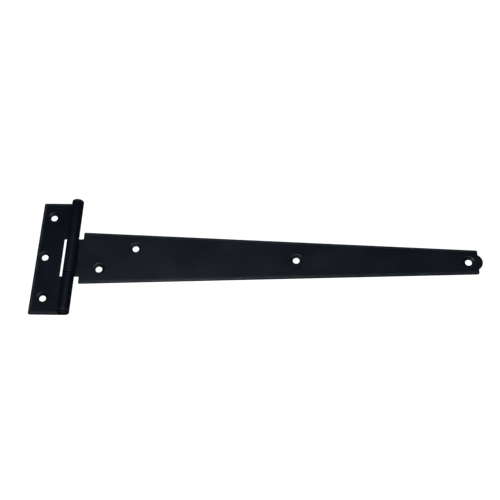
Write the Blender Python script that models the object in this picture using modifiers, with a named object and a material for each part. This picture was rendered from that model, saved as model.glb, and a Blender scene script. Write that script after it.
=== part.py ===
"""T hinge (300 mm strap): cross plate, tapered strap and hinge pin.

The hinge lies on its back.  +X runs along the strap to its tip, +Y along the
hinge pin, +Z out of the countersunk front faces.  The origin is on the back
faces' plane, straight behind the middle of the pin.  Units are metres.
"""
import math

import bmesh
import bpy
from mathutils import Vector

# ---------------------------------------------------------------- dimensions
SHEET = 0.0018            # thickness of both leaves
BARREL_R = 0.00442        # outer radius of the rolled knuckles
PIN_R = 0.00238           # hinge pin
PIN_RECESS = 0.0003       # pin end below the knuckle's end
PIN_CHAMFER = 0.0005      # peened rim of the pin
CURL_GAP = 0.0003         # rolled edge to its own leaf
CURL_STEPS = 28           # segments round a knuckle

PLATE_HEIGHT = 0.0938     # cross plate, along the pin
PLATE_REACH = 0.02605     # pin axis to the cross plate's outer edge
PLATE_CORNER = 0.0010
NOTCH_HEIGHT = 0.0319     # notch for the strap's knuckle
NOTCH_REACH = 0.0072      # pin axis to the bottom of the notch
NOTCH_CORNER = 0.0008

NECK_HEIGHT = 0.0313      # strap's own knuckle
SHOULDER_X = 0.0071       # pin axis to the shoulders
SHOULDER_WIDTH = 0.0430   # strap width at the shoulders
SHOULDER_CORNER = 0.0006
END_X = 0.29655           # straight end of the strap, on its middle
END_LEAN = 0.02           # the end is cut slightly out of square: X lost per Y
END_WIDTH = 0.0194        # strap width at the straight end
END_CORNER = 0.0013
TIP_X = 0.2998            # crown of the tip tab
TAB_WIDTH = 0.0114        # chord of the tip tab

HOLE_R = 0.00240          # screw holes
SINK_R = 0.00455          # countersinks at the front face
HOLE_LAND = 0.00045       # straight part of a hole, at the back
HOLE_SEGMENTS = 28
PLATE_HOLES = ((-0.01735, 0.0343), (-0.01985, 0.0001), (-0.01715, -0.0338))
STRAP_HOLES = ((0.0211, -0.0093), (0.0467, 0.0083), (0.1651, 0.0), (0.2896, 0.0))

BLACK_PAINT = (0.012, 0.015, 0.020, 1.0)
PIN_PAINT = (0.010, 0.012, 0.015, 1.0)

# ------------------------------------------------------------- empty the file
for old in list(bpy.data.objects):
    bpy.data.objects.remove(old, do_unlink=True)

parts = bpy.data.collections.new("t_hinge")
cutters = bpy.data.collections.new("t_hinge_cutters")
bpy.context.scene.collection.children.link(parts)
bpy.context.scene.collection.children.link(cutters)


def paint(name, colour, roughness, metallic):
    mat = bpy.data.materials.new(name)
    mat.use_nodes = True
    shader = mat.node_tree.nodes["Principled BSDF"]
    shader.inputs["Base Color"].default_value = colour
    shader.inputs["Roughness"].default_value = roughness
    shader.inputs["Metallic"].default_value = metallic
    return mat


def add_mesh(name, bm, collection):
    bmesh.ops.recalc_face_normals(bm, faces=bm.faces[:])
    mesh = bpy.data.meshes.new(name)
    bm.to_mesh(mesh)
    bm.free()
    ob = bpy.data.objects.new(name, mesh)
    collection.objects.link(ob)
    return ob


def as_cutter(ob):
    ob.hide_render = True
    ob.display_type = "WIRE"
    return ob


# ------------------------------------------------------------- plan outlines
def rounded(corners):
    """Closed outline from (x, y, corner radius), each corner a round fillet."""
    points = []
    count = len(corners)
    for i, (x, y, radius) in enumerate(corners):
        here = Vector((x, y))
        before = (Vector(corners[i - 1][:2]) - here).normalized()
        after = (Vector(corners[(i + 1) % count][:2]) - here).normalized()
        if radius <= 0.0:
            points.append(here)
            continue
        half = before.angle(after) / 2
        tangent = radius / math.tan(half)
        centre = here + (before + after).normalized() * (radius / math.sin(half))
        start = here + before * tangent - centre
        stop = here + after * tangent - centre
        turn = math.atan2(start.x * stop.y - start.y * stop.x, start.dot(stop))
        steps = 6
        for k in range(steps + 1):
            ca, sa = math.cos(turn * k / steps), math.sin(turn * k / steps)
            points.append(centre + Vector((start.x * ca - start.y * sa,
                                           start.x * sa + start.y * ca)))
    return points


def outline_solid(name, points, low, high):
    """A flat outline, filled and extruded from low to high along Z."""
    curve = bpy.data.curves.new(name, "CURVE")
    curve.dimensions = "2D"
    curve.fill_mode = "BOTH"
    curve.extrude = (high - low) / 2
    spline = curve.splines.new("POLY")
    spline.points.add(len(points) - 1)
    for target, point in zip(spline.points, points):
        target.co = (point.x, point.y, 0.0, 1.0)
    spline.use_cyclic_u = True
    guide = bpy.data.objects.new(name + "_curve", curve)
    guide.location.z = (low + high) / 2
    cutters.objects.link(guide)
    bpy.context.view_layer.update()
    depsgraph = bpy.context.evaluated_depsgraph_get()
    mesh = bpy.data.meshes.new_from_object(guide.evaluated_get(depsgraph))
    mesh.name = name
    bm = bmesh.new()
    bm.from_mesh(mesh)
    bmesh.ops.remove_doubles(bm, verts=bm.verts[:], dist=1e-6)
    bmesh.ops.recalc_face_normals(bm, faces=bm.faces[:])
    bm.to_mesh(mesh)
    bm.free()
    ob = bpy.data.objects.new(name, mesh)
    ob.matrix_world = guide.matrix_world.copy()
    cutters.objects.link(ob)
    bpy.data.objects.remove(guide, do_unlink=True)
    return as_cutter(ob)


# ------------------------------------------------------------- rolled leaves
def rolled_leaf(name, side, reach, half_length, material):
    """Sheet that is flat out to reach on one side (+1 or -1 in X), and rolled
    once round the pin on the other.  The knuckle is tangent to the back face."""
    middle = BARREL_R - SHEET / 2
    stop = math.asin((BARREL_R - SHEET - CURL_GAP) / BARREL_R)
    sweep = 1.5 * math.pi + stop        # -90 degrees round to just above the leaf
    profile = [Vector((side * reach, 0.0, SHEET / 2))]
    for k in range(CURL_STEPS + 1):
        angle = -math.pi / 2 + sweep * k / CURL_STEPS
        profile.append(Vector((-side * middle * math.cos(angle), 0.0,
                               BARREL_R + middle * math.sin(angle))))
    bm = bmesh.new()
    row = [bm.verts.new((p.x, -half_length, p.z)) for p in profile]
    edges = [bm.edges.new(pair) for pair in zip(row, row[1:])]
    swept = bmesh.ops.extrude_edge_only(bm, edges=edges)
    moved = [g for g in swept["geom"] if isinstance(g, bmesh.types.BMVert)]
    bmesh.ops.translate(bm, verts=moved, vec=(0.0, 2 * half_length, 0.0))
    leaf = add_mesh(name, bm, parts)
    leaf.data.materials.append(material)
    thick = leaf.modifiers.new("sheet", "SOLIDIFY")
    thick.thickness = SHEET
    thick.offset = 0.0
    thick.use_even_offset = True
    return leaf


def cut(leaf, operation, tool):
    modifier = leaf.modifiers.new(tool.name, "BOOLEAN")
    modifier.operation = operation
    modifier.solver = "EXACT"
    modifier.object = tool


def screw_hole(name, x, y):
    """Countersunk hole, turned about Z and open at both faces."""
    over = 0.0010
    slope = (SINK_R - HOLE_R) / (SHEET - HOLE_LAND)
    profile = [(0.0, SHEET + over), (SINK_R + slope * over, SHEET + over),
               (HOLE_R, HOLE_LAND), (HOLE_R, -over), (0.0, -over)]
    bm = bmesh.new()
    row = [bm.verts.new((r, 0.0, z)) for r, z in profile]
    for pair in zip(row, row[1:]):
        bm.edges.new(pair)
    mesh = bpy.data.meshes.new(name)
    bm.to_mesh(mesh)
    bm.free()
    ob = bpy.data.objects.new(name, mesh)
    cutters.objects.link(ob)
    ob.location = (x, y, 0.0)
    turn = ob.modifiers.new("turned", "SCREW")
    turn.axis = "Z"
    turn.steps = HOLE_SEGMENTS
    turn.render_steps = HOLE_SEGMENTS
    turn.use_merge_vertices = True
    turn.merge_threshold = 1e-6
    return as_cutter(ob)


# -------------------------------------------------------------------- pieces
leaf_paint = paint("leaf_black_paint", BLACK_PAINT, 0.35, 0.0)
strap_paint = paint("strap_black_paint", BLACK_PAINT, 0.35, 0.0)
pin_paint = paint("pin_black_paint", PIN_PAINT, 0.45, 0.0)

low, high = -0.002, 2 * BARREL_R + 0.002
half_plate = PLATE_HEIGHT / 2
half_notch = NOTCH_HEIGHT / 2
clear = BARREL_R + 0.002

# the cross plate: outer corners rounded, notch open towards the strap
cross_plate = rolled_leaf("cross_plate", -1, PLATE_REACH + 0.004,
                          half_plate + 0.004, leaf_paint)
plate_plan = rounded([
    (-PLATE_REACH, -half_plate, PLATE_CORNER),
    (clear, -half_plate, 0.0),
    (clear, -half_notch, 0.0),
    (-NOTCH_REACH, -half_notch, NOTCH_CORNER),
    (-NOTCH_REACH, half_notch, NOTCH_CORNER),
    (clear, half_notch, 0.0),
    (clear, half_plate, 0.0),
    (-PLATE_REACH, half_plate, PLATE_CORNER),
])
cut(cross_plate, "INTERSECT", outline_solid("plate_plan", plate_plan, low, high))
for number, (x, y) in enumerate(PLATE_HOLES, 1):
    cut(cross_plate, "DIFFERENCE", screw_hole("plate_hole_%d" % number, x, y))

# the strap: neck, square shoulders, straight taper, rounded end and tip tab
half_neck = NECK_HEIGHT / 2
half_shoulder = SHOULDER_WIDTH / 2
half_end = END_WIDTH / 2
strap = rolled_leaf("strap", 1, TIP_X + 0.004, half_shoulder + 0.004, strap_paint)
half_tab = TAB_WIDTH / 2
rise = TIP_X - END_X
tab_radius = (half_tab ** 2 + rise ** 2) / (2 * rise)
lean_angle = math.atan(END_LEAN)
tab_half_angle = math.acos((tab_radius - rise) * math.cos(lean_angle) / tab_radius)
tab = [(TIP_X - tab_radius + tab_radius * math.cos(a), tab_radius * math.sin(a), 0.0)
       for a in (lean_angle + tab_half_angle * (k / 8 - 1) for k in range(17))]
lean = END_LEAN * half_end
strap_plan = rounded([
    (-clear, -half_neck, 0.0),
    (SHOULDER_X, -half_neck, 0.0),
    (SHOULDER_X, -half_shoulder, SHOULDER_CORNER),
    (END_X + lean, -half_end, END_CORNER),
    *tab,
    (END_X - lean, half_end, END_CORNER),
    (SHOULDER_X, half_shoulder, SHOULDER_CORNER),
    (SHOULDER_X, half_neck, 0.0),
    (-clear, half_neck, 0.0),
])
cut(strap, "INTERSECT", outline_solid("strap_plan", strap_plan, low, high))
for number, (x, y) in enumerate(STRAP_HOLES, 1):
    cut(strap, "DIFFERENCE", screw_hole("strap_hole_%d" % number, x, y))

# the pin: a turned rod with chamfered rims, lying along Y on the joint's axis
half_pin = half_plate - PIN_RECESS
pin_profile = [(0.0, half_pin), (PIN_R - PIN_CHAMFER, half_pin),
               (PIN_R, half_pin - PIN_CHAMFER), (PIN_R, PIN_CHAMFER - half_pin),
               (PIN_R - PIN_CHAMFER, -half_pin), (0.0, -half_pin)]
bm = bmesh.new()
row = [bm.verts.new((r, 0.0, z)) for r, z in pin_profile]
for pair in zip(row, row[1:]):
    bm.edges.new(pair)
pin_mesh = bpy.data.meshes.new("pin")
bm.to_mesh(pin_mesh)
bm.free()
pin = bpy.data.objects.new("pin", pin_mesh)
parts.objects.link(pin)
pin.data.materials.append(pin_paint)
turn = pin.modifiers.new("turned", "SCREW")
turn.axis = "Z"
turn.steps = 32
turn.render_steps = 32
turn.use_merge_vertices = True
turn.merge_threshold = 1e-6
turn.use_smooth_shade = True

# the pin and the strap's knuckle sit on an empty on the joint's axis
axis = bpy.data.objects.new("hinge_axis", None)
parts.objects.link(axis)
axis.location = (0.0, 0.0, BARREL_R)
pin.parent = axis
pin.rotation_euler = (-math.pi / 2, 0.0, 0.0)
strap.parent = axis
strap.location = (0.0, 0.0, -BARREL_R)

for leaf in (cross_plate, strap):
    leaf.data.shade_smooth()
    leaf.data.set_sharp_from_angle(angle=math.radians(30))
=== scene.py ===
"""Looks for the t hinge: rolled and stamped sheet leaves, a peened pin, satin black enamel.

Lengths in the mesh code are millimetres, scaled to metres at the end of each piece.
"""
import math

import bmesh
import bpy
import numpy as np
from mathutils import Matrix, Vector
from mathutils.geometry import delaunay_2d_cdt


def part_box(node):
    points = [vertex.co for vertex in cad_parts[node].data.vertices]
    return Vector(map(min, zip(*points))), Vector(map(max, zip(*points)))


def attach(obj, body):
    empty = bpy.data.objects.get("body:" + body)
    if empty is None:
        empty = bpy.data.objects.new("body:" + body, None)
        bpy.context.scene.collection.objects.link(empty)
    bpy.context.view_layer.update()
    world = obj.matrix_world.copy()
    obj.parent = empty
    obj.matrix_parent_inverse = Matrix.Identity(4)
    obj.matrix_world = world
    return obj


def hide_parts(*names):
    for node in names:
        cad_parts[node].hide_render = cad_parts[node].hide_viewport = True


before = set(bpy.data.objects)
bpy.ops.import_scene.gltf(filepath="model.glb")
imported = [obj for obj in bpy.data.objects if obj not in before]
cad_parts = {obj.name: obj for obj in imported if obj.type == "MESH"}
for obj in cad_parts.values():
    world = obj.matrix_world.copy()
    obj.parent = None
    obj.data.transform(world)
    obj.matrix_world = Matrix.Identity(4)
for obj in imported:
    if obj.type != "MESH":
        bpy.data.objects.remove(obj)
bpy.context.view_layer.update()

MM = 0.001

# ---------------------------------------------------------------- dimensions
plate_low, plate_high = (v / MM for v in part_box("cross_plate"))
strap_low, strap_high = (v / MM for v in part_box("strap"))
pin_low, pin_high = (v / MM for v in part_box("pin"))

BARREL_R = plate_high.z / 2
PIN_R = (pin_high.z - pin_low.z) / 2
SHEET = 1.8
CURL_GAP = 0.3
NEUTRAL_R = BARREL_R - SHEET / 2

PLATE_REACH = -plate_low.x
PLATE_HALF = plate_high.y
NOTCH_REACH, NOTCH_HALF = 7.2, 15.95
NECK_HALF = 15.65
SHOULDER_X, SHOULDER_HALF = 7.1, 21.5
END_X, END_HALF, END_LEAN = 296.55, 9.7, 0.02
TIP_X, TAB_HALF = strap_high.x, 5.7

HOLE_R, SINK_R, HOLE_LAND = 2.40, 4.55, 0.45
PLATE_HOLES = ((-17.35, 34.3), (-19.85, 0.1), (-17.15, -33.8))
STRAP_HOLES = ((21.1, -9.3), (46.7, 8.3), (165.1, 0.0), (289.6, 0.0))

ROLL_OVER = 0.6           # width of the blanked edge's roll-over, front face
RIM_ROUND = 0.3           # its rim
BACK_ROUND = 0.40         # back face
SUPPORT = 0.15            # flat band next to a rounded edge

CURL_SWEEP = 1.5 * math.pi + math.asin((BARREL_R - SHEET - CURL_GAP) / BARREL_R)
CURL_LENGTH = CURL_SWEEP * NEUTRAL_R
CURL_STEPS = 56


# ------------------------------------------------------ outlines with insets
class Outline:
    """A closed counter-clockwise outline with filleted corners.

    corners: (x, y, fillet radius, fillet steps, growth)
    stations: for the edge after each corner, None, an int (even spacing) or
    ("x"|"y", values) for points at set coordinates.
    """

    def __init__(self, corners, stations):
        self.corners, self.stations = corners, stations

    def ring(self, inset):
        n = len(self.corners)
        pts = [np.array(c[:2], float) for c in self.corners]
        dirs, lines = [], []
        for i in range(n):
            d = pts[(i + 1) % n] - pts[i]
            d /= np.linalg.norm(d)
            dirs.append(d)
            lines.append(pts[i] + inset * np.array((-d[1], d[0])))
        arcs = []
        for i, (x, y, radius, steps, growth) in enumerate(self.corners):
            d0, d1 = dirs[i - 1], dirs[i]
            cross = d0[0] * d1[1] - d0[1] * d1[0]
            # where the two inset lines meet
            p, q = lines[i - 1], lines[i]
            s = ((q[0] - p[0]) * d1[1] - (q[1] - p[1]) * d1[0]) / cross
            corner = p + s * d0
            if radius <= 0:
                arcs.append([corner])
                continue
            r = max(radius - inset, 0.03) if cross > 0 else radius + growth * inset
            turn = math.asin(max(-1.0, min(1.0, cross)))
            if d0 @ d1 < 0:
                turn = math.copysign(math.pi - abs(turn), turn)
            tangent = r * math.tan(abs(turn) / 2)
            start = corner - d0 * tangent
            side = math.copysign(1.0, turn)
            centre = start + side * r * np.array((-d0[1], d0[0]))
            a0 = math.atan2(*(start - centre)[::-1])
            arcs.append([
                centre + r * np.array((math.cos(a0 + turn * k / steps),
                                       math.sin(a0 + turn * k / steps)))
                for k in range(steps + 1)])
        out = []
        for i in range(n):
            out.extend(arcs[i])
            a, b = arcs[i][-1], arcs[(i + 1) % n][0]
            rule = self.stations[i]
            if rule is None:
                continue
            if isinstance(rule, int):
                out.extend(a + (b - a) * k / rule for k in range(1, rule))
            else:
                axis = 0 if rule[0] == "x" else 1
                for value in rule[1]:
                    share = (value - a[axis]) / (b[axis] - a[axis])
                    out.append(a + (b - a) * share)
        return np.array(out)


def edge_profile(steps=6):
    """(inset, z) rows over a blanked edge: front face rolling over, side, back face."""
    lean = [(ROLL_OVER, 0.0), (0.5, 6.0), (0.4, 11.0), (0.28, 17.0)]
    last = math.radians(25.0)
    lean.append((RIM_ROUND * (1 - math.sin(last)), 25.0))
    front, z = [(ROLL_OVER, SHEET)], SHEET
    for (d0, a0), (d1, a1) in zip(lean, lean[1:]):
        z -= (d0 - d1) * math.tan(math.radians((a0 + a1) / 2))
        front.append((d1, z))
    low = z - RIM_ROUND * math.cos(last)
    front += [(RIM_ROUND * (1 - math.sin(a)), low + RIM_ROUND * math.cos(a))
              for a in np.linspace(last, math.pi / 2, steps)[1:]]
    front[-1] = (0.0, low)
    back = [(BACK_ROUND * (1 - math.cos(a)), BACK_ROUND * (1 - math.sin(a)))
            for a in np.linspace(0, math.pi / 2, 5)]
    return front, back


def hole_profile(steps=5):
    """(radius, z, sheared) rows from the front face down a countersunk hole to the back."""
    lip, toe, back = 1.2, 0.25, 0.16
    run, drop = SINK_R - HOLE_R, SHEET - HOLE_LAND
    slope = math.atan2(drop, run)
    rows = []
    # lip: fillet between the face and the cone
    t = lip * math.tan(slope / 2)
    cx, cz = SINK_R + t, SHEET - lip
    for a in np.linspace(0, slope, steps + 2):
        rows.append((cx - lip * math.sin(a), cz + lip * math.cos(a), 0.0))
    # toe: fillet between the cone and the straight land
    turn = math.pi / 2 - slope
    cx, cz = HOLE_R + toe, HOLE_LAND - toe * math.tan(turn / 2)
    for a in np.linspace(slope, math.pi / 2, steps):
        rows.append((cx - toe * math.sin(a), cz + toe * math.cos(a), 0.3))
    # back rim
    for a in np.linspace(0, math.pi / 2, 4):
        rows.append((HOLE_R + back * (1 - math.cos(a)), back * (1 - math.sin(a)), 0.6))
    return rows


# ------------------------------------------------------------ building a leaf
def build_leaf(name, outline, holes, grid, mirror):
    """Closed mesh of a rolled sheet.  x is developed length: flat up to 0, then
    rolled forward round the pin.  mirror flips X for the strap."""
    verts, wall = [], []
    faces = []

    def add_ring(points, z, sheared):
        first = len(verts)
        for x, y in points:
            verts.append((x, y, z))
            wall.append(sheared)
        return list(range(first, first + len(points)))

    def bridge(a, b):
        n = len(a)
        for i in range(n):
            j = (i + 1) % n
            faces.append((a[i], a[j], b[j], b[i]))

    front, back = edge_profile()
    # ring order runs from the front face over the edge to the back face
    rows = [(ROLL_OVER + SUPPORT, SHEET)] + front
    rows += [(0.0, (front[-1][1] + BACK_ROUND) / 2)] + back
    rows.append((BACK_ROUND + SUPPORT, 0.0))
    rings = [add_ring(outline.ring(inset), z, 1.0 if inset < 0.02 else 0.0)
             for inset, z in rows]
    for a, b in zip(rings, rings[1:]):
        bridge(b, a)

    sides = 64
    turn = [2 * math.pi * k / sides for k in range(sides)]
    hole_rings = []
    for hx, hy in holes:
        prof = hole_profile()
        wide = prof[0][0] + 0.05
        prof = [(wide, SHEET, 0.0)] + prof + [(prof[-1][0] + 0.45, 0.0, 0.0)]
        loops = [add_ring([(hx + r * math.cos(a), hy + r * math.sin(a)) for a in turn],
                          z, sheared) for r, z, sheared in prof]
        for a, b in zip(loops, loops[1:]):
            bridge(a, b)
        hole_rings.append((loops[0], loops[-1], (hx, hy), wide, prof[-1][0]))

    def fill(outer, inner, z, flip):
        """Triangulated face between the outline's ring and the holes' rings."""
        coords = [verts[i][:2] for i in outer]
        ids = list(outer)
        edges = [(i, (i + 1) % len(outer)) for i in range(len(outer))]
        for loop in inner:
            base = len(coords)
            coords += [verts[i][:2] for i in loop]
            ids += loop
            edges += [(base + i, base + (i + 1) % len(loop)) for i in range(len(loop))]
        poly = np.array([verts[i][:2] for i in outer])
        edge_a, edge_b = poly, np.roll(poly, -1, axis=0)

        def clear_of_edge(p, margin):
            d = edge_b - edge_a
            t = np.clip(((p - edge_a) * d).sum(1) / np.maximum((d * d).sum(1), 1e-12), 0, 1)
            return np.sqrt((((edge_a + t[:, None] * d) - p) ** 2).sum(1)).min() > margin

        def inside(p):
            a, b = edge_a, edge_b
            hit = (a[:, 1] > p[1]) != (b[:, 1] > p[1])
            with np.errstate(divide="ignore", invalid="ignore"):
                x = a[:, 0] + (p[1] - a[:, 1]) * (b[:, 0] - a[:, 0]) / (b[:, 1] - a[:, 1])
            return bool((hit & (p[0] < x)).sum() % 2)

        for gx, gy, margin in grid:
            p = np.array((gx, gy))
            if not inside(p) or not clear_of_edge(p, margin):
                continue
            if any(math.hypot(gx - h[2][0], gy - h[2][1]) < h[3] + 0.8 for h in hole_rings):
                continue
            verts.append((gx, gy, z))
            wall.append(0.0)
            coords.append((gx, gy))
            ids.append(len(verts) - 1)
        out = delaunay_2d_cdt([Vector(c) for c in coords], edges, [], 0, 1e-5, True)
        new_co, tris, orig = out[0], out[2], out[3]
        back_to = [ids[o[0]] if o else None for o in orig]
        if any(b is None for b in back_to):
            raise RuntimeError(name + ": the outline crosses itself")
        walls = {frozenset((ids[a], ids[b])) for a, b in edges}
        tris = [[back_to[i] for i in tri] for tri in tris]
        beside = {}
        for k, t in enumerate(tris):
            for i in range(3):
                beside.setdefault(frozenset((t[i], t[i - 1])), []).append(k)
        # start well inside the sheet and spread up to the walls
        start = None
        for k, t in enumerate(tris):
            c = np.mean([verts[i][:2] for i in t], axis=0)
            if inside(c) and clear_of_edge(c, 0.6) and not any(
                    math.hypot(c[0] - h[2][0], c[1] - h[2][1]) < h[3] + 0.5
                    for h in hole_rings):
                start = k
                break
        kept, queue = {start}, [start]
        while queue:
            t = tris[queue.pop()]
            for i in range(3):
                e = frozenset((t[i], t[i - 1]))
                if e in walls:
                    continue
                for k in beside[e]:
                    if k not in kept:
                        kept.add(k)
                        queue.append(k)
        for k in sorted(kept):
            t = list(tris[k])
            (x0, y0), (x1, y1), (x2, y2) = (verts[i][:2] for i in t)
            if (x1 - x0) * (y2 - y0) - (x2 - x0) * (y1 - y0) < 0:
                t.reverse()
            if flip:
                t.reverse()
            faces.append(tuple(t))

    fill(rings[0], [h[0] for h in hole_rings], SHEET, False)
    fill(rings[-1], [h[1] for h in hole_rings], 0.0, True)

    # roll the sheet: the back face becomes the knuckle's outside
    co = np.array(verts, float)
    flat = co.copy()
    x, z = co[:, 0].copy(), co[:, 2].copy()
    rolled = x > 0
    phi = np.where(rolled, x / NEUTRAL_R, 0.0)
    radius = BARREL_R - z
    co[:, 0] = np.where(rolled, radius * np.sin(phi), x)
    co[:, 2] = np.where(rolled, BARREL_R - radius * np.cos(phi), z)
    if mirror:
        co[:, 0] *= -1
        faces = [tuple(reversed(f)) for f in faces]

    mesh = bpy.data.meshes.new(name)
    mesh.from_pydata((co * MM).tolist(), [], faces)
    mesh.update()
    layer = mesh.attributes.new("wall", "FLOAT", "POINT")
    layer.data.foreach_set("value", np.array(wall, np.float32))
    # developed coordinates, so that the paint's texture runs on round the knuckle
    layer = mesh.attributes.new("sheet_co", "FLOAT_VECTOR", "POINT")
    layer.data.foreach_set("vector", (flat * MM).astype(np.float32).ravel())
    bm = bmesh.new()
    bm.from_mesh(mesh)
    tris = [f for f in bm.faces if len(f.verts) == 3]
    bmesh.ops.join_triangles(bm, faces=tris, angle_face_threshold=0.02,
                             angle_shape_threshold=0.9)
    bm.to_mesh(mesh)
    bad = sum(1 for e in bm.edges if len(e.link_faces) != 2)
    volume = bm.calc_volume(signed=True)
    bm.free()
    if bad or volume <= 0:
        raise RuntimeError("%s: %d open edges, volume %g" % (name, bad, volume))
    mesh.shade_smooth()
    ob = bpy.data.objects.new(name, mesh)
    bpy.context.scene.collection.objects.link(ob)
    print(name, len(mesh.vertices), "verts", len(mesh.polygons), "faces", "volume mm3", volume * 1e9)
    return ob


curl_x = [CURL_LENGTH * k / CURL_STEPS for k in range(CURL_STEPS)]
curl_x = [x for x in curl_x if x < CURL_LENGTH - 1.35]


def strip_y(low, high, count):
    return [low + (high - low) * k / count for k in range(count + 1)]


# ----- cross plate
plate_flat_x = [-22.0, -18.0, -14.0, -10.0, -6.0, -3.0, -1.2]
notch_flat_x = [x for x in plate_flat_x if x > -NOTCH_REACH + 1.0]
plate_rows = strip_y(NOTCH_HALF + 1.2, PLATE_HALF - 1.2, 14)
plate_outline = Outline(
    [(-PLATE_REACH, -PLATE_HALF, 1.0, 6, 1), (CURL_LENGTH, -PLATE_HALF, 0.45, 4, 1),
     (CURL_LENGTH, -NOTCH_HALF, 0.45, 4, 1), (-NOTCH_REACH, -NOTCH_HALF, 0.8, 6, 1),
     (-NOTCH_REACH, NOTCH_HALF, 0.8, 6, 1), (CURL_LENGTH, NOTCH_HALF, 0.45, 4, 1),
     (CURL_LENGTH, PLATE_HALF, 0.45, 4, 1), (-PLATE_REACH, PLATE_HALF, 1.0, 6, 1)],
    [("x", plate_flat_x + curl_x), ("y", [-y for y in reversed(plate_rows[1:-1])]),
     ("x", (notch_flat_x + curl_x)[::-1]), 9, ("x", notch_flat_x + curl_x),
     ("y", plate_rows[1:-1]), ("x", (plate_flat_x + curl_x)[::-1]), 24])
plate_grid = [(x, s * y, 0.05) for x in curl_x for y in plate_rows[1:-1] for s in (-1, 1)]
plate_grid += [(x, s * y, 0.05) for x in (-1.2, -3.0) for y in plate_rows[1:-1] for s in (-1, 1)]
plate_grid += [(x, y, 1.2) for x in (-22.0, -18.0, -14.0, -10.0, -6.0)
               for y in np.arange(-44.0, 44.1, 4.0)]

# ----- strap, developed with the knuckle towards +x
rise = TIP_X - END_X
tab_r = (TAB_HALF ** 2 + rise ** 2) / (2 * rise)
lean_a = math.atan(END_LEAN)
tab_a = math.acos((tab_r - rise) * math.cos(lean_a) / tab_r)
tab = [(-(TIP_X - tab_r + tab_r * math.cos(a)), tab_r * math.sin(a))
       for a in np.linspace(lean_a + tab_a, lean_a - tab_a, 17)]
lean = END_LEAN * END_HALF
neck_rows = strip_y(-(NECK_HALF - 1.2), NECK_HALF - 1.2, 14)
neck_flat_x = [-6.0, -3.0, -1.2]
tab_corners = [(x, y, 0.5 if k in (0, 16) else 0.0, 4, 0.2) for k, (x, y) in enumerate(tab)]
strap_outline = Outline(
    [(-END_X - lean, -END_HALF, 1.3, 8, 1), (-SHOULDER_X, -SHOULDER_HALF, 0.7, 5, 1),
     (-SHOULDER_X, -NECK_HALF, 0.4, 4, 1), (CURL_LENGTH, -NECK_HALF, 0.45, 4, 1),
     (CURL_LENGTH, NECK_HALF, 0.45, 4, 1), (-SHOULDER_X, NECK_HALF, 0.4, 4, 1),
     (-SHOULDER_X, SHOULDER_HALF, 0.7, 5, 1), (-END_X + lean, END_HALF, 1.3, 8, 1),
     *tab_corners],
    [72, 4, ("x", neck_flat_x + curl_x), ("y", neck_rows[1:-1]),
     ("x", (neck_flat_x + curl_x)[::-1]), 4, 72, 2] + [None] * 16 + [2])
strap_grid = [(x, y, 0.05) for x in curl_x for y in neck_rows[1:-1]]
strap_grid += [(x, y, 0.05) for x in (-1.2, -3.0) for y in neck_rows[1:-1]]
strap_grid += [(x, y, 1.2) for x in np.arange(-294.0, -5.9, 4.0)
               for y in np.arange(-20.0, 20.1, 4.0)]

plate = build_leaf("cross_plate_sheet", plate_outline, PLATE_HOLES, plate_grid, False)
strap = build_leaf("strap_sheet", strap_outline,
                   [(-x, y) for x, y in STRAP_HOLES], strap_grid, True)


# ------------------------------------------------------------------- the pin
def build_pin():
    """Turned rod whose peened ends are slightly domed, lying along Y."""
    half = PLATE_HALF - 0.18
    rim_r = 0.5
    profile = [(0.0, half)]
    profile += [((PIN_R - rim_r) * k / 6, half - 0.16 * (k / 6) ** 2) for k in range(1, 6)]
    for a in np.linspace(0, math.pi / 2, 7):
        profile.append((PIN_R - rim_r + rim_r * math.sin(a),
                        half - 0.16 - rim_r * (1 - math.cos(a))))
    profile += [(PIN_R, half - 2.0), (PIN_R, 15.0)]
    profile = profile + [(r, -y) for r, y in reversed(profile)]
    steps = 72
    verts, faces = [], []
    loops = []
    for r, y in profile:
        if r < 1e-9:
            loops.append([len(verts)])
            verts.append((0.0, y, BARREL_R))
            continue
        first = len(verts)
        for k in range(steps):
            a = 2 * math.pi * k / steps
            verts.append((r * math.cos(a), y, BARREL_R + r * math.sin(a)))
        loops.append(list(range(first, first + steps)))
    for a, b in zip(loops, loops[1:]):
        for k in range(steps):
            j = (k + 1) % steps
            if len(a) == 1:
                faces.append((a[0], b[k], b[j]))
            elif len(b) == 1:
                faces.append((a[k], b[0], a[j]))
            else:
                faces.append((a[k], b[k], b[j], a[j]))
    mesh = bpy.data.meshes.new("hinge_pin")
    mesh.from_pydata([(x * MM, y * MM, z * MM) for x, y, z in verts], [], faces)
    layer = mesh.attributes.new("sheet_co", "FLOAT_VECTOR", "POINT")
    layer.data.foreach_set("vector", (np.array(verts) * MM).astype(np.float32).ravel())
    bm = bmesh.new()
    bm.from_mesh(mesh)
    bmesh.ops.recalc_face_normals(bm, faces=bm.faces[:])
    if bm.calc_volume(signed=True) < 0:
        bmesh.ops.reverse_faces(bm, faces=bm.faces[:])
    bm.to_mesh(mesh)
    bm.free()
    mesh.shade_smooth()
    ob = bpy.data.objects.new("hinge_pin", mesh)
    bpy.context.scene.collection.objects.link(ob)
    return ob


pin = build_pin()


# ----------------------------------------------------------------- materials
def nodes_of(name):
    mat = bpy.data.materials.new(name)
    mat.use_nodes = True
    tree = mat.node_tree
    return mat, tree, tree.nodes["Principled BSDF"]


def link(tree, a, out, b, socket):
    tree.links.new(a.outputs[out], b.inputs[socket])


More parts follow.
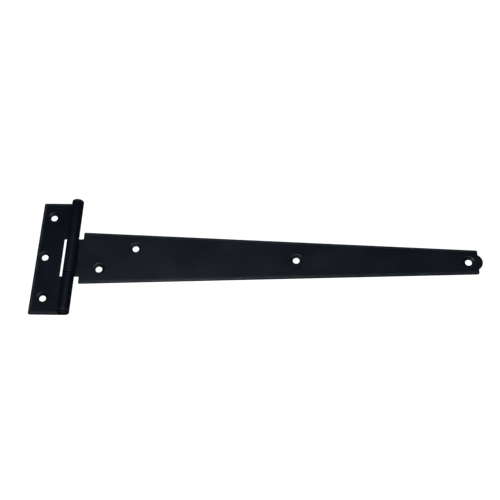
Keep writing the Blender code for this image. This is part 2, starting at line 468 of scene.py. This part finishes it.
def enamel(name, dark, light, rough_low, rough_high, seed, specular=0.15, half=None, end=None):
    """Blue-black stove enamel on pressed steel: faint cloudy colour, fine orange
    peel, pigment grain, satin blanked walls, and a painted highlight: the base
    colour made paler in a band just inside the long edges, for the light the rolled
    rims catch.  half is (half width at x = 0, loss per length) of the leaf, end its
    reach along x, both for the painted highlight band."""
    mat, t, shader = nodes_of(name)
    n = t.nodes
    coord = n.new("ShaderNodeAttribute")
    coord.attribute_name = "sheet_co"
    move = n.new("ShaderNodeMapping")
    move.inputs["Location"].default_value = (seed * 0.37, seed * 0.61, seed * 0.13)
    link(t, coord, "Vector", move, "Vector")

    def tex(scale, detail, rough):
        k = n.new("ShaderNodeTexNoise")
        k.inputs["Scale"].default_value = scale
        k.inputs["Detail"].default_value = detail
        k.inputs["Roughness"].default_value = rough
        link(t, move, "Vector", k, "Vector")
        return k

    def ramp(source, low, high, a, b):
        k = n.new("ShaderNodeMapRange")
        k.inputs["From Min"].default_value = low
        k.inputs["From Max"].default_value = high
        k.inputs["To Min"].default_value = a
        k.inputs["To Max"].default_value = b
        link(t, source, 0, k, "Value")
        return k

    cloud = tex(38.0, 3.0, 0.55)          # broad patches, 20 to 30 mm
    grain = tex(900.0, 2.0, 0.5)          # orange peel, about 1 mm
    fine = tex(3800.0, 2.0, 0.6)          # pigment grain

    shade = n.new("ShaderNodeMix")
    shade.data_type = "RGBA"
    shade.inputs[6].default_value = (*dark, 1.0)
    shade.inputs[7].default_value = (*light, 1.0)
    blendf = n.new("ShaderNodeMath")
    blendf.operation = "MULTIPLY_ADD"
    link(t, ramp(cloud, 0.3, 0.7, 0.0, 0.75), 0, blendf, 0)
    blendf.inputs[1].default_value = 1.0
    link(t, ramp(fine, 0.3, 0.7, 0.0, 0.25), 0, blendf, 2)
    link(t, blendf, 0, shade, "Factor")
    if half is None:
        t.links.new(shade.outputs[2], shader.inputs["Base Color"])
    else:
        def math_node(kind, a, b=None, c=None):
            k = n.new("ShaderNodeMath")
            k.operation = kind
            for i, v in enumerate((a, b, c)):
                if isinstance(v, (int, float)):
                    k.inputs[i].default_value = v
                elif v is not None:
                    t.links.new(v, k.inputs[i])
            return k.outputs[0]

        def step(value, low, high, a, b):
            k = n.new("ShaderNodeMapRange")
            k.interpolation_type = "SMOOTHSTEP"
            t.links.new(value, k.inputs["Value"])
            for socket, v in (("From Min", low), ("From Max", high), ("To Min", a), ("To Max", b)):
                k.inputs[socket].default_value = v
            return k.outputs[0]

        split = n.new("ShaderNodeSeparateXYZ")
        link(t, coord, "Vector", split, 0)
        inside = math_node("MULTIPLY_ADD", split.outputs[0], half[1], half[0])
        inside = math_node("SUBTRACT", inside, math_node("ABSOLUTE", split.outputs[1]))
        if end is not None:
            inside = math_node("MINIMUM", inside, math_node("ADD", split.outputs[0], end))
        # painted highlight: a paler band from 0.4 to 2.4 mm inside the leaf's edges, broken up by
        # noise, for the light caught by the rolled rims
        highlight_band = math_node("MULTIPLY", step(inside, 0.0004, 0.0010, 0.0, 1.0),
                         step(inside, 0.0013, 0.0024, 1.0, 0.0))
        highlight_patch = tex(130.0, 3.0, 0.6)
        highlight_band = math_node("MULTIPLY", highlight_band, ramp(highlight_patch, 0.35, 0.65, 0.35, 1.0).outputs[0])
        # mix the painted highlight's paler colour into the base colour
        edge_highlight_mix = n.new("ShaderNodeMix")
        edge_highlight_mix.data_type = "RGBA"
        t.links.new(math_node("MULTIPLY", highlight_band, EDGE_HIGHLIGHT_STRENGTH), edge_highlight_mix.inputs["Factor"])
        t.links.new(shade.outputs[2], edge_highlight_mix.inputs[6])
        edge_highlight_mix.inputs[7].default_value = (0.030, 0.033, 0.037, 1.0)
        t.links.new(edge_highlight_mix.outputs[2], shader.inputs["Base Color"])

    wall = n.new("ShaderNodeAttribute")
    wall.attribute_name = "wall"
    rough = ramp(cloud, 0.3, 0.7, rough_low, rough_high)
    less = n.new("ShaderNodeMath")
    less.operation = "MULTIPLY_ADD"
    link(t, wall, "Fac", less, 0)
    less.inputs[1].default_value = 0.35
    link(t, rough, 0, less, 2)
    add = n.new("ShaderNodeMath")
    add.operation = "MULTIPLY_ADD"
    link(t, fine, 0, add, 0)
    add.inputs[1].default_value = 0.06
    link(t, less, 0, add, 2)
    link(t, add, 0, shader, "Roughness")

    bump_a = n.new("ShaderNodeBump")
    bump_a.inputs["Strength"].default_value = 0.12
    bump_a.inputs["Distance"].default_value = 0.0002
    link(t, grain, 0, bump_a, "Height")
    bump_b = n.new("ShaderNodeBump")
    bump_b.inputs["Strength"].default_value = 0.10
    bump_b.inputs["Distance"].default_value = 0.00005
    link(t, fine, 0, bump_b, "Height")
    link(t, bump_a, "Normal", bump_b, "Normal")
    link(t, bump_b, "Normal", shader, "Normal")
    shader.inputs["Metallic"].default_value = 0.0
    shader.inputs["Specular IOR Level"].default_value = specular
    return mat


# strength of the painted highlight along the leaf edges
EDGE_HIGHLIGHT_STRENGTH = 0.5
DARK, LIGHT = (0.0018, 0.0028, 0.0046), (0.0030, 0.0040, 0.0064)
taper = (SHOULDER_HALF - END_HALF) / (END_X - SHOULDER_X)
plate.data.materials.append(enamel("enamel_cross_plate", DARK, LIGHT, 0.26, 0.32, 1.0, 0.107,
                                   (PLATE_HALF * MM, 0.0), PLATE_REACH * MM))
strap.data.materials.append(enamel("enamel_strap", DARK, LIGHT, 0.28, 0.36, 2.0, 0.16,
                                   ((SHOULDER_HALF + taper * SHOULDER_X) * MM, taper)))
pin.data.materials.append(enamel("enamel_pin", DARK, LIGHT, 0.34, 0.42, 3.0))

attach(plate, "cross_plate")
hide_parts("cross_plate")
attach(pin, "cross_plate")
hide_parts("pin")
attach(strap, "strap")
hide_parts("strap")

# --------------------------------------------------------------------- stage
FLOOR_GLOW = 0.975
FLOOR_Z = -1.60           # well below the hinge: the strap swings down past its back


def build_sweep():
    """Round studio sweep: a level floor that turns up into a wall and a ceiling all round."""
    profile = [(0.5 * k, 0.0) for k in range(7)]
    profile += [(3.0 + 1.2 * math.sin(a), 1.2 * (1 - math.cos(a)))
                for a in np.linspace(0, math.pi / 2, 17)[1:]]
    profile += [(4.2, 1.8), (4.2, 3.2), (4.2, 5.0)]
    profile += [(0.02 + 4.18 * math.cos(a), 5.0 + 3.0 * math.sin(a))
                for a in np.linspace(0, math.pi / 2, 13)[1:]]
    steps = 96
    verts, faces = [(0.0, 0.0, 0.0)], []
    for r, z in profile[1:]:
        verts += [(r * math.cos(2 * math.pi * k / steps),
                   r * math.sin(2 * math.pi * k / steps), z) for k in range(steps)]
    for k in range(steps):
        faces.append((0, 1 + k, 1 + (k + 1) % steps))
    for ring in range(len(profile) - 2):
        a, b = 1 + ring * steps, 1 + (ring + 1) * steps
        for k in range(steps):
            m = (k + 1) % steps
            faces.append((a + k, b + k, b + m, a + m))
    mesh = bpy.data.meshes.new("studio_floor")
    mesh.from_pydata(verts, [], faces)
    mesh.shade_smooth()
    ob = bpy.data.objects.new("studio_floor", mesh)
    ob.location = (0.10, 0.95, FLOOR_Z)
    bpy.context.scene.collection.objects.link(ob)
    return ob


floor = build_sweep()
fmat, ft, fs = nodes_of("pale_floor")
fs.inputs["Base Color"].default_value = (0.80, 0.80, 0.80, 1.0)
fs.inputs["Roughness"].default_value = 0.9
fs.inputs["Specular IOR Level"].default_value = 0.1
# a lit sweep: even white all round, with a breath of unevenness
where = ft.nodes.new("ShaderNodeTexCoord")
haze = ft.nodes.new("ShaderNodeTexNoise")
haze.inputs["Scale"].default_value = 0.8
link(ft, where, "Object", haze, "Vector")
glow = ft.nodes.new("ShaderNodeMapRange")
glow.inputs["To Min"].default_value = FLOOR_GLOW - 0.005
glow.inputs["To Max"].default_value = FLOOR_GLOW + 0.005
link(ft, haze, 0, glow, "Value")
fs.inputs["Emission Color"].default_value = (1.0, 1.0, 1.0, 1.0)
link(ft, glow, 0, fs, "Emission Strength")
floor.data.materials.append(fmat)
floor.visible_glossy = floor.visible_diffuse = floor.visible_shadow = False

world = bpy.data.worlds.new("studio")
bpy.context.scene.world = world
world.use_nodes = True
world.node_tree.nodes["Background"].inputs["Color"].default_value = (0.93, 0.96, 1.0, 1.0)
world.node_tree.nodes["Background"].inputs["Strength"].default_value = 0.06


def softbox(name, centre, target, width, height, watts, colour=(1, 1, 1)):
    lamp = bpy.data.lights.new(name, "AREA")
    lamp.shape = "RECTANGLE"
    lamp.size, lamp.size_y = width, height
    lamp.energy = watts
    lamp.color = colour
    ob = bpy.data.objects.new(name, lamp)
    ob.location = centre
    ob.rotation_mode = "QUATERNION"
    ob.rotation_quaternion = (Vector(target) - Vector(centre)).to_track_quat("-Z", "Y")
    ob.visible_camera = False
    bpy.context.scene.collection.objects.link(ob)
    return ob


COOL = (0.87, 0.98, 1.08)
softbox("key", (0.03, -0.01, 0.45), (0.03, 0.0, 0.0), 0.16, 0.13, 1.72, COOL)
softbox("tip", (0.27, -0.01, 0.45), (0.27, 0.0, 0.0), 0.18, 0.13, 0.42, COOL)
softbox("rear", (0.13, 1.85, 0.70), (0.13, 0.0, 0.0), 2.4, 0.5, 4.3, COOL)
softbox("over", (0.15, -0.12, 1.3), (0.15, 0.0, 0.0), 2.4, 0.2, 6.0, COOL)
# faint fills for the edges, the ends and the back, which face away from the boxes above
softbox("front_fill", (0.13, -1.9, 0.35), (0.13, 0.0, 0.0), 1.6, 0.8, 1.5, COOL)
softbox("right_fill", (2.0, -0.55, 0.30), (0.13, 0.0, 0.0), 1.0, 0.8, 1.3, COOL)
softbox("left_fill", (-1.7, -0.55, 0.30), (0.13, 0.0, 0.0), 1.0, 0.8, 1.3, COOL)
softbox("under_fill", (0.13, -1.05, -1.05), (0.13, 0.0, 0.0), 2.6, 1.2, 3.4, COOL)

# -------------------------------------------------------------------- camera
FOCAL = 1019.98            # focal length over the frame's width of 500
TILT, ROLL, YAW = math.radians(30.54), math.radians(-3.843), math.radians(5.193)
AIM = Vector((0.131045, 0.008877, 0.0))
DISTANCE = 0.750014
right = Vector((1, 0, 0))
up = Vector((0, math.cos(TILT), math.sin(TILT)))
toward = Vector((0, -math.sin(TILT), math.cos(TILT)))
spin = Matrix.Rotation(YAW, 3, "Z")
right, up, toward = spin @ right, spin @ up, spin @ toward
right, up = (math.cos(ROLL) * right + math.sin(ROLL) * up,
             -math.sin(ROLL) * right + math.cos(ROLL) * up)
data = bpy.data.cameras.new("camera")
data.sensor_width = 36.0
data.lens = FOCAL * 36.0 / 500.0
data.clip_start, data.clip_end = 0.01, 50.0
camera = bpy.data.objects.new("camera", data)
camera.matrix_world = Matrix.Translation(AIM + toward * DISTANCE) @ Matrix(
    (right, up, toward)).transposed().to_4x4()
bpy.context.scene.collection.objects.link(camera)
bpy.context.scene.camera = camera
bpy.context.scene.view_settings.view_transform = "Standard"
